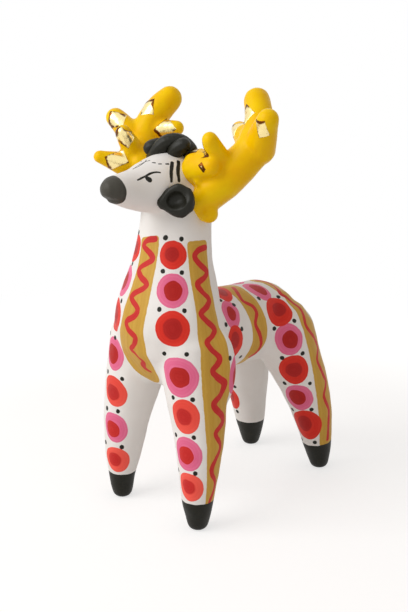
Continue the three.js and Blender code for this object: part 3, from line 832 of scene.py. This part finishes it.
def paint_bands(painting):
    # Down the throat to the crotch between the forelegs
    places, halves = between_edges(painting, throat_left, throat_right)
    line = [painting.snapped(p)[0] for p in curve_through(places)]
    painting.stroke("ochre", line, widths_along(halves), square=band_corner)
    paint_wave(painting, [painting.seen(pixel) for pixel in throat_wave], throat_half, twin=False)

    # Down the side of the neck and the outside of the foreleg
    places = [painting.seen(pixel) for pixel, _ in neck_band]
    halves = widths_along([width / 2 for _, width in neck_band])
    line = [painting.snapped(p)[0] for p in curve_through(places)]
    painting.stroke("ochre", line, halves, square=band_corner)
    painting.stroke("ochre", [painting.mirrored(p) for p in line], halves, square=band_corner)
    paint_wave(painting, [painting.seen(pixel) for pixel in neck_wave], neck_half)

    # Round the barrel behind the shoulders
    places, halves = between_edges(painting, girth_front, girth_rear)
    halves = [min(half, girth_half) for half in halves]
    twins = [painting.mirrored(p) for p in places]
    ring = curve_through([*places, *twins[::-1], places[0]])
    widths = widths_along([*halves, *halves[::-1], halves[0]])
    painting.stroke("ochre", [painting.snapped(p)[0] for p in ring], widths)
    wave = [painting.seen(pixel) for pixel in girth_wave]
    paint_wave(painting, wave, [girth_wave_half] * len(wave))

    # From one hind leg over the top of the rump to the other
    edges = [painting.seen(pixel) for pixel, _ in rump_band]
    halves = [width / 2 for _, width in rump_band]
    places = []
    for i, edge in enumerate(edges):
        along = edges[min(i + 1, len(edges) - 1)] - edges[max(i - 1, 0)]
        rearwards = np.cross(painting.snapped(edge)[1], along)
        places.append(painting.walk(edge, rearwards, halves[i]))
    twins = [painting.mirrored(p) for p in places]
    line = curve_through([*twins[::-1], *places])
    widths = widths_along([*halves[::-1], *halves])
    painting.stroke("ochre", [painting.snapped(p)[0] for p in line], widths)
    wave = [places[0], *(painting.seen(pixel) for pixel in rump_wave)]
    paint_wave(painting, wave, [rump_wave_half] * len(wave))


# Thin black brush lines on the face: pixels along each line, and half its width
brow_line = [(137.6, 180.0), (141.5, 178.2), (146.0, 175.9), (151.0, 173.2), (156.0, 172.2), (160.2, 172.6)]
brow_half = [0.34, 0.46, 0.48, 0.46, 0.44, 0.4]
eye_line = [(146.2, 176.4), (147.3, 178.4), (149.4, 179.7)]
eye_half = [0.55, 1.0, 1.2]
rear_stripes = [[(172.3, 162.6), (171.2, 171.5), (171.4, 181.2)]]
rear_stripes += [[(178.4, 161.6), (178.0, 171.0), (179.0, 180.8)]]
stripe_half = [0.8, 0.85, 0.7]
crown_dashes = [[(166.0, 164.0), (168.4, 164.0)], [(158.8, 163.9), (161.2, 163.9)]]
crown_dashes += [[(152.6, 162.6), (155.0, 162.9)]]
dash_half = 0.36
crown_thread = [(149.6, 160.4), (145.0, 161.9), (141.0, 163.9), (137.0, 166.2), (133.4, 169.0)]
thread_half = 0.22


def face_lines(painting):
    """The face's thin lines on both sides, each with half its width at every point."""
    lines = []
    drawn = [(brow_line, brow_half), (eye_line, eye_half), (crown_thread, [thread_half] * len(crown_thread))]
    drawn += [(stripe, stripe_half) for stripe in rear_stripes]
    drawn += [(dash, [dash_half] * 2) for dash in crown_dashes]
    for pixels, halves in drawn:
        line = curve_through([painting.seen(pixel) for pixel in pixels])
        widths = widths_along(halves)
        lines.append((line, widths))
        lines.append((np.array([painting.mirrored(p) for p in line]), widths))
    return lines


# Black hooves and nose. The hooves' tops are heights, Z.
hoof_tops = {("left", "fore"): 14.2, ("right", "fore"): 13.0}
hoof_tops |= {("left", "hind"): 15.3, ("right", "hind"): 14.8}
hoof_slant = 0.18  # how much the black of the left hind hoof rises towards the rear
hoof_middle = 57  # Y of that hoof
between_legs = 10  # Y, between the forelegs and the hind legs
above_hooves = 20  # Z
hoof_tremble, hoof_tremble_width = 0.3, 3.5  # how far the black's edge wanders, and how long a wandering is
nose_edge = -56.5  # Y, ahead of which the nose is black
nose_bulge = 1.3  # how much further back the black reaches on the sides of the nose
nose_middle = 146  # Z
head_floor = 120  # Z, above which is only the head


def paint_hooves_and_nose(painting):
    x, y, z = painting.points.T
    left, fore = x > middle_x, y < between_legs
    field = np.empty(len(z))
    for (side, end), top in hoof_tops.items():
        leg = (left == (side == "left")) & (fore == (end == "fore"))
        field[leg] = top - z[leg]
    slanted = left & ~fore
    field[slanted] += hoof_slant * (y[slanted] - hoof_middle)
    low = z < above_hooves
    field[low] += [hoof_tremble * noise.noise(Vector(p / hoof_tremble_width)) for p in painting.points[low]]
    painting.lay("black", slice(None), field)
    around = np.arctan2(z - nose_middle, x - middle_x)
    edge = nose_edge + nose_bulge * np.cos(around) ** 2
    painting.lay("black", z > head_floor, (edge - y)[z > head_floor])


def build_skin(material):
    mesh = model_skin()
    thin_lines = [line for line, _ in face_lines(Painting(mesh))]
    refine(mesh, thin_lines)
    painting = Painting(mesh)
    paint_bands(painting)
    paint_row(painting, throat_row)
    paint_row(painting, left_foreleg_row, egg, twins=False)
    paint_row(painting, right_foreleg_row, egg, twins=False)
    paint_row(painting, shoulder_row)
    paint_hidden_spots(painting)
    paint_row(painting, haunch_row, lift=haunch_lift)
    single_dots = throat_dots + left_foreleg_dots + right_foreleg_dots + hind_dots
    paint_dots(painting, single_dots, twins=False)
    paint_dots(painting, shared_throat_dots + shoulder_dots)
    paint_dots(painting, haunch_dots, lift=haunch_lift)
    for line, widths in face_lines(painting):
        painting.stroke("black", line, widths)
    paint_hooves_and_nose(painting)
    painting.dry()
    finished("painted_clay_body", mesh, material, skin_nodes)
    return painting


# Antlers
antler_parts = ("beam", "outer_finger", "brow_tine", "front_tine", "inner_tine")
antler_voxel = 0.45
antler_wetting = 24
antler_seat = 2.0  # how far from the head the antler's clay is drawn down to it
# Clay smeared down below the left beam's root, and into the crease between its pad and the beam
left_fillets = [((18.7, -21.6, 137.4), (4.4, 4.4, 4.4)), ((16.9, -26.2, 150.7), (2.2, 2.2, 2.2))]


def build_antler(side, skin_tree, material):
    nodes = [f"antler_{part}_{side}" for part in antler_parts]
    mesh = one_shell(nodes, joint_closing, antler_voxel, left_fillets if side == "left" else ())
    set_points(mesh, wetted(mesh, antler_wetting))
    points = points_of(mesh) - joint_closing * normals_of(mesh)
    points = uneven(points, normals_of(mesh), swell=0.35, reach=9, seed=5.3)
    set_points(mesh, seated(points, skin_tree, antler_seat))
    finished("antler_" + side, mesh, material, nodes)
    return mesh


# Gold leaf
leaf_spots = ("outer_finger", "brow_tine", "front_tine", "inner_tine", "rear_finger")
leaf_proud = 0.12  # how far the leaf stands above the clay
leaf_under = 0.3  # how far it reaches down into it, so that no gap shows
leaf_grid = 30  # faces along each side
leaf_reach = 2.0  # how far from its CAD leaf the clay under a leaf can be
leaf_drop = 4  # how far above the clay the rays start that lay the leaf on it
leaf_tear = 0.045  # how far a torn edge wanders, as a share of half the leaf
tear_rate = 2.2  # how often it does so along half the leaf
crinkle_height, crinkle_width = 0.06, 1.4
side_dark, side_dark_start = 0.55, 0.2  # how fast the painted darkening grows to the sides, and what it is on the middle
seed_distance = 7.3  # how far apart two leaves' noises lie
turn_step = 2  # degrees between the turns at which the smallest rectangle round a leaf is looked for
# The share of its length and width at which the photograph shows a leaf that tore smaller
leaf_shares = {"outer_finger_left": (0.85, 0.65), "brow_tine_left": (0.62, 0.5)}
leaf_shares |= {"beam_root_left": (0.6, 0.5)}
darker_leaves = {"brow_tine_left": 0.5, "beam_root_left": 0.25}  # how much darker these leaves are painted: more bare size, and painted shade and dark reflection where they sit


def tree_under(mesh, node):
    """A search tree of only those faces of an antler that lie close under a CAD leaf."""
    flat = np.empty(len(mesh.polygons) * 3)
    mesh.polygons.foreach_get("center", flat)
    middles = flat.reshape(-1, 3) / mm
    low, high = (np.array(corner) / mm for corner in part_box(node))
    near = ((middles > low - leaf_reach) & (middles < high + leaf_reach)).all(1)
    leaf = tree_of(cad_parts[node].data)
    under = [i for i in np.flatnonzero(near) if leaf.find_nearest(Vector(middles[i]), leaf_reach)[0]]
    corners = [tuple(mesh.polygons[i].vertices) for i in under]
    return BVHTree.FromPolygons([Vector(p) for p in points_of(mesh)], corners)


def leaf_outline(node, normal):
    """The middle of a CAD leaf and the half sides of the smallest rectangle round it, across its normal."""
    points = points_of(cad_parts[node].data)
    side = np.cross(normal, [0, 0, 1])
    side /= np.linalg.norm(side)
    up = np.cross(side, normal)
    best = None
    for turn in np.radians(np.arange(0, 90, turn_step)):
        a = math.cos(turn) * side + math.sin(turn) * up
        b = np.cross(normal, a)
        along, across = points @ a, points @ b
        spans = np.ptp(along), np.ptp(across)
        if best is None or spans[0] * spans[1] < best[0]:
            middle = (along.max() + along.min()) / 2 * a + (across.max() + across.min()) / 2 * b
            middle = middle + np.mean(points @ normal) * normal
            best = spans[0] * spans[1], middle, a * spans[0] / 2, b * spans[1] / 2
    return best[1:]


def build_leaf(node, antler, seed, material):
    tree = tree_under(antler, node)
    low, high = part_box(node)
    _, normal, _, _ = tree.find_nearest((low + high) / 2 / mm)
    normal = np.array(normal)
    middle, half_long, half_wide = leaf_outline(node, normal)
    half_long, half_wide = sorted((half_long, half_wide), key=np.linalg.norm, reverse=True)
    long_share, wide_share = leaf_shares.get(node.removeprefix("gold_leaf_"), (1, 1))
    half_long, half_wide = half_long * long_share, half_wide * wide_share
    shift = Vector((seed * seed_distance, 0, 0))

    def torn(along, across, row, layer):
        """How far out the edge lies that is reached across the leaf. Row and layer keep the edges unlike."""
        place = Vector((along * tear_rate, math.copysign(row, across), layer))
        return 1 + leaf_tear * noise.noise(place + shift)

    rows = []
    side = leaf_grid + 1
    for i in range(side):
        for j in range(side):
            u, v = 2 * i / leaf_grid - 1, 2 * j / leaf_grid - 1
            flat = middle + u * torn(v, u, 5, 0) * half_long + v * torn(u, v, 9, 3) * half_wide
            spot, facing, _, _ = tree.ray_cast(Vector(flat + leaf_drop * normal), Vector(-normal))
            if spot is None:
                spot, facing, _, _ = tree.find_nearest(Vector(flat))
            # A leaf's third value is how dark it is painted there, growing towards one end and to the sides:
            # bare size and painted dark reflection.
            rows.append((np.array(spot), np.array(facing), max(u, side_dark * abs(v) + side_dark_start)))
    work = bmesh.new()
    tops, unders = [], []
    for spot, facing, _ in rows:
        crinkle = crinkle_height * noise.noise(Vector(spot / crinkle_width) + shift)
        tops.append(work.verts.new((spot + (leaf_proud + crinkle) * facing) * mm))
        unders.append(work.verts.new((spot - leaf_under * facing) * mm))
    for i in range(leaf_grid):
        for j in range(leaf_grid):
            corners = [i * side + j, (i + 1) * side + j, (i + 1) * side + j + 1, i * side + j + 1]
            work.faces.new([tops[k] for k in corners])
            work.faces.new([unders[k] for k in reversed(corners)])
    rim = [i * side for i in range(side)] + [(side - 1) * side + j for j in range(1, side)]
    rim += [i * side + side - 1 for i in range(side - 2, -1, -1)] + [j for j in range(side - 2, 0, -1)]
    for k, corner in enumerate(rim):
        after = rim[(k + 1) % len(rim)]
        work.faces.new([tops[corner], unders[corner], unders[after], tops[after]])
    bmesh.ops.recalc_face_normals(work, faces=work.faces)
    mesh = bpy.data.meshes.new(node)
    work.to_mesh(mesh)
    work.free()
    dark_and_bare_field = mesh.attributes.new("leaf_worn", "FLOAT", "POINT")
    extra_dark = darker_leaves.get(node.removeprefix("gold_leaf_"), 0)
    dark_and_bare_field.data.foreach_set("value", [dark_and_bare + extra_dark for _, _, dark_and_bare in rows for _ in range(2)])
    finished("leaf_" + node.removeprefix("gold_leaf_"), mesh, material, [node])


# Ears and forelock
dent_middle = (0.6, 1.0)  # right of and above the ear's middle, as the camera sees it
dent_tilt = math.radians(22)
dent_depth = 1.9
dent_share, dent_steepness = 0.75, 2.4  # its width as a share of the rim's oval, and how steep its wall is
rim_radii = (7.4, 4.2)
rim_height, rim_width = 0.35, 0.3  # the width is a share of the oval
rim_side = (0.6, -0.8)  # which way from the dent's middle the rim lies: rearwards and down
rim_start, rim_full = -0.3, 0.4  # how far that way it begins and is full, as shares of the oval
ear_voxel = 0.3  # the forelock's too
ear_growth, strand_growth = 0.1, 0.5  # how much thicker they are than their CAD nodes
ear_wetting, strand_wetting = 16, 12
ear_seat, strand_seat = 1.6, 1.2  # how far from the head their clay is drawn down to it


def thumbed(points, normals, mirror):
    """The dent that the thumb left in an ear, and the rim that it raised below it and behind it."""
    middle = (points.min(0) + points.max(0)) / 2
    offset = (points - middle) * mirror
    level = offset @ camera_right - dent_middle[0]
    upright = offset @ camera_up - dent_middle[1]
    across = (level * math.cos(dent_tilt) + upright * math.sin(dent_tilt)) / rim_radii[0]
    above = (upright * math.cos(dent_tilt) - level * math.sin(dent_tilt)) / rim_radii[1]
    reach = np.hypot(across, above)
    dent = -dent_depth * np.exp(-((reach / dent_share) ** dent_steepness))
    towards_rim = smoothstep(rim_start, rim_full, rim_side[0] * across + rim_side[1] * above)
    rim = rim_height * np.exp(-(((reach - 1) / rim_width) ** 2)) * towards_rim
    outer_face = np.clip(2 * (normals * mirror) @ camera_back, 0, 1)
    return points + ((dent + rim) * outer_face)[:, None] * camera_back * mirror


def build_ear(side, skin_tree, material):
    node = "ear_" + side
    mesh = one_shell([node], ear_growth, ear_voxel)
    set_points(mesh, wetted(mesh, ear_wetting))
    mirror = np.array([1 if side == "left" else -1, 1, 1])
    set_points(mesh, thumbed(points_of(mesh), normals_of(mesh), mirror))
    set_points(mesh, seated(points_of(mesh), skin_tree, ear_seat))
    finished("ear_pad_" + side, mesh, material, [node])


def build_forelock(skin_tree, material):
    nodes = ["forelock_strand_front", "forelock_strand_rear"]
    strands = bmesh.new()
    for node in nodes:
        mesh = one_shell([node], strand_growth, ear_voxel)
        set_points(mesh, wetted(mesh, strand_wetting))
        set_points(mesh, seated(points_of(mesh), skin_tree, strand_seat))
        strands.from_mesh(mesh)
        bpy.data.meshes.remove(mesh)
    twist = bpy.data.meshes.new("forelock")
    strands.to_mesh(twist)
    strands.free()
    finished("forelock", twist, material, nodes)


# Floor, light and world
floor_size = 6000
white_reach = 150  # from here on the floor goes over to plain white
white_full = 420
near_glow = 0.42  # the share of the white that the camera sees in the paper near the deer
near_white = 1.52  # its strength, which takes the lit paper just up to white and leaves the shadows
ambient = (0.52, 0.49, 0.47, 1)  # the room's own light, warmer than the lamp


def rays_that_see_white(tree):
    """1 for the camera's rays and for those that a mirror or glass sends on, and 0 for the rest."""
    rays = add(tree, "LightPath", {}).outputs
    seen = rays["Is Camera Ray"]
    for kind in ("Is Glossy Ray", "Is Transmission Ray"):
        seen = add(tree, "Math", {0: seen, 1: rays[kind]}, operation="MAXIMUM").outputs[0]
    return seen


def build_floor():
    mesh = bpy.data.meshes.new("floor")
    half = floor_size / 2 * mm
    corners = [(-half, -half, 0), (half, -half, 0), (half, half, 0), (-half, half, 0)]
    mesh.from_pydata(corners, [], [(0, 1, 2, 3)])
    floor = bpy.data.objects.new("floor", mesh)
    bpy.context.scene.collection.objects.link(floor)
    material, tree = new_material("pale_paper_floor")
    paper = add(tree, "BsdfDiffuse", {"Color": linear("#E6E4E2")}).outputs[0]
    place = add(tree, "TexCoord", {}).outputs["Object"]
    reach = add(tree, "VectorMath", {0: place}, operation="LENGTH").outputs["Value"]
    span = {"Value": reach, "From Min": white_reach * mm, "From Max": white_full * mm}
    far = add(tree, "MapRange", span, interpolation_type="SMOOTHSTEP").outputs[0]
    whiteness = add(tree, "MapRange", {"Value": far, "To Min": near_glow, "To Max": 1.0}).outputs[0]
    strength = add(tree, "MapRange", {"Value": far, "To Min": near_white, "To Max": 1.0}).outputs[0]
    glow = add(tree, "Emission", {"Color": (1, 1, 1, 1), "Strength": strength}).outputs[0]
    share = add(tree, "Math", {0: rays_that_see_white(tree), 1: whiteness}, operation="MULTIPLY").outputs[0]
    surface = add(tree, "MixShader", {0: share, 1: paper, 2: glow}).outputs[0]
    add(tree, "OutputMaterial", {"Surface": surface})
    mesh.materials.append(material)


def build_world():
    world = bpy.data.worlds.new("studio")
    bpy.context.scene.world = world
    world.use_nodes = True
    tree = world.node_tree
    tree.nodes.clear()
    colours = {0: rays_that_see_white(tree), mix_a: ambient, mix_b: (1, 1, 1, 1)}
    colour = add(tree, "Mix", colours, data_type="RGBA").outputs[mix_result]
    sky = add(tree, "Background", {"Color": colour, "Strength": 1.0}).outputs[0]
    add(tree, "OutputWorld", {"Surface": sky})


def build_lamp(name, azimuth, elevation, distance, size, watts):
    """A soft square lamp that faces the deer."""
    light = bpy.data.lights.new(name, "AREA")
    light.size = size * mm
    light.energy = watts
    lamp = bpy.data.objects.new(name, light)
    a, e = math.radians(azimuth), math.radians(elevation)
    direction = Vector((math.sin(a) * math.cos(e), -math.cos(a) * math.cos(e), math.sin(e)))
    lamp.location = (Vector(camera_aim) + distance * direction) * mm
    lamp.rotation_euler = (-direction).to_track_quat("-Z", "Y").to_euler()
    bpy.context.scene.collection.objects.link(lamp)


make_camera()
build_floor()
build_world()
build_lamp("key", azimuth=-24, elevation=36, distance=900, size=640, watts=4.6)
bpy.context.scene.view_settings.view_transform = "Standard"

painted = build_skin(tempera_on_whitewash())
yellow = yellow_tempera()
black = black_tempera()
leaf = gold_leaf()
leaf_seed = 1
for side in ("left", "right"):
    antler = build_antler(side, painted.tree, yellow)
    spots = leaf_spots + (("beam_root",) if side == "left" else ())
    for spot in spots:
        build_leaf(f"gold_leaf_{spot}_{side}", antler, leaf_seed, leaf)
        leaf_seed += 1
    build_ear(side, painted.tree, black)
build_forelock(painted.tree, black)
